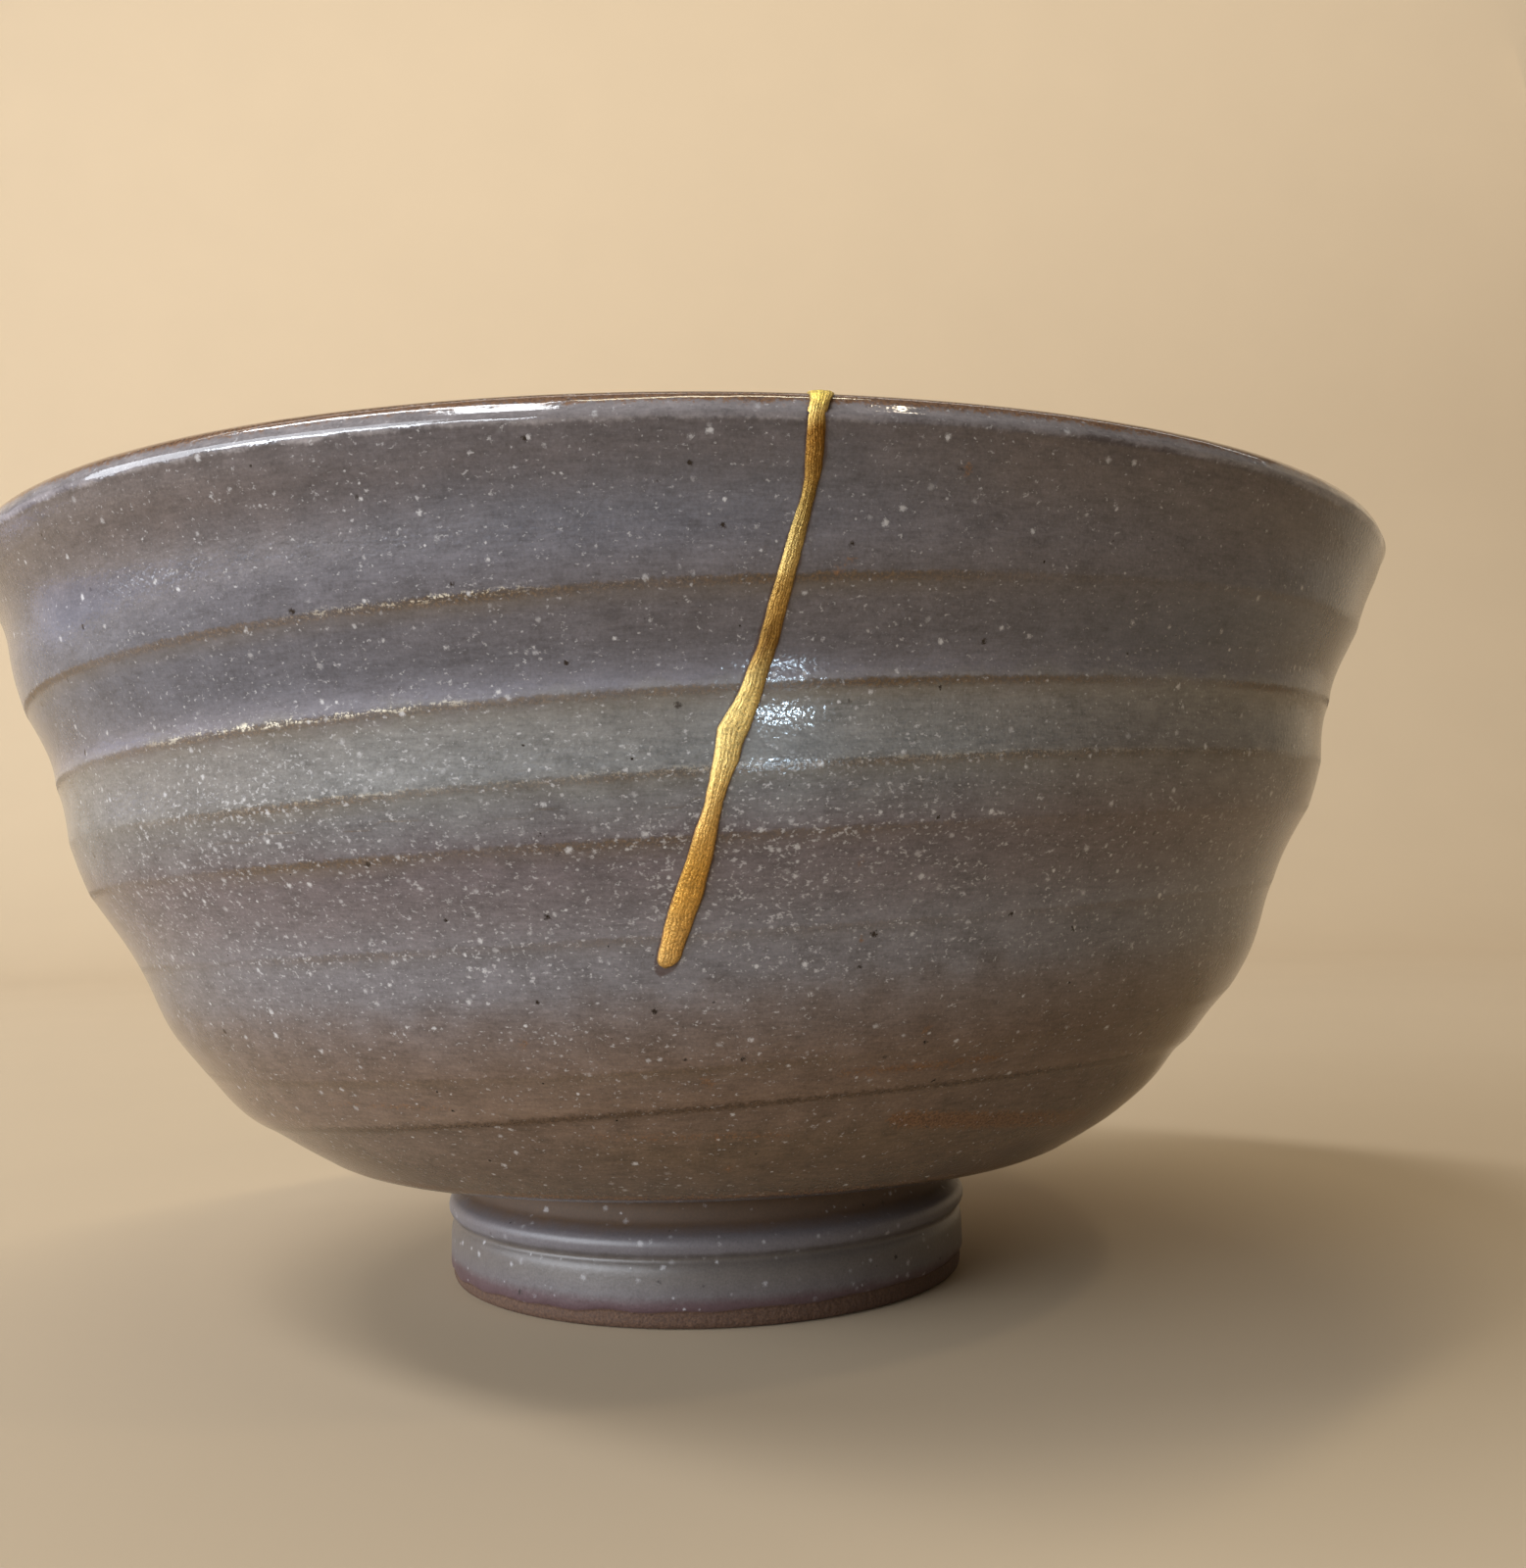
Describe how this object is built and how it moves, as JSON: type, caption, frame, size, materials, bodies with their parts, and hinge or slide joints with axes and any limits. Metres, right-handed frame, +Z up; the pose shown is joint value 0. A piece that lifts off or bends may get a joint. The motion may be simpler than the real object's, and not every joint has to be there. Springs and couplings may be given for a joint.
{
  "type": "kintsugi bowl",
  "caption": "Hand-thrown stoneware bowl on a turned foot ring, with a rim crack mended by a raised line of gold lacquer.",
  "frame": {"origin": "centre of the bowl on the plane that its foot stands on", "axes": "+Z up through the mouth, -Y towards the crack; +X follows"},
  "size_m": [0.126, 0.126, 0.0645],
  "materials": {
    "stoneware": "glossy speckled blue-grey glaze over brown stoneware, bare at the base of the foot",
    "gold_lacquer": "gold powder over lacquer, softly brushed"
  },
  "bodies": {
    "root": {"bowl": "stoneware", "gold_seam": "gold_lacquer"}
  },
  "joints": []
}
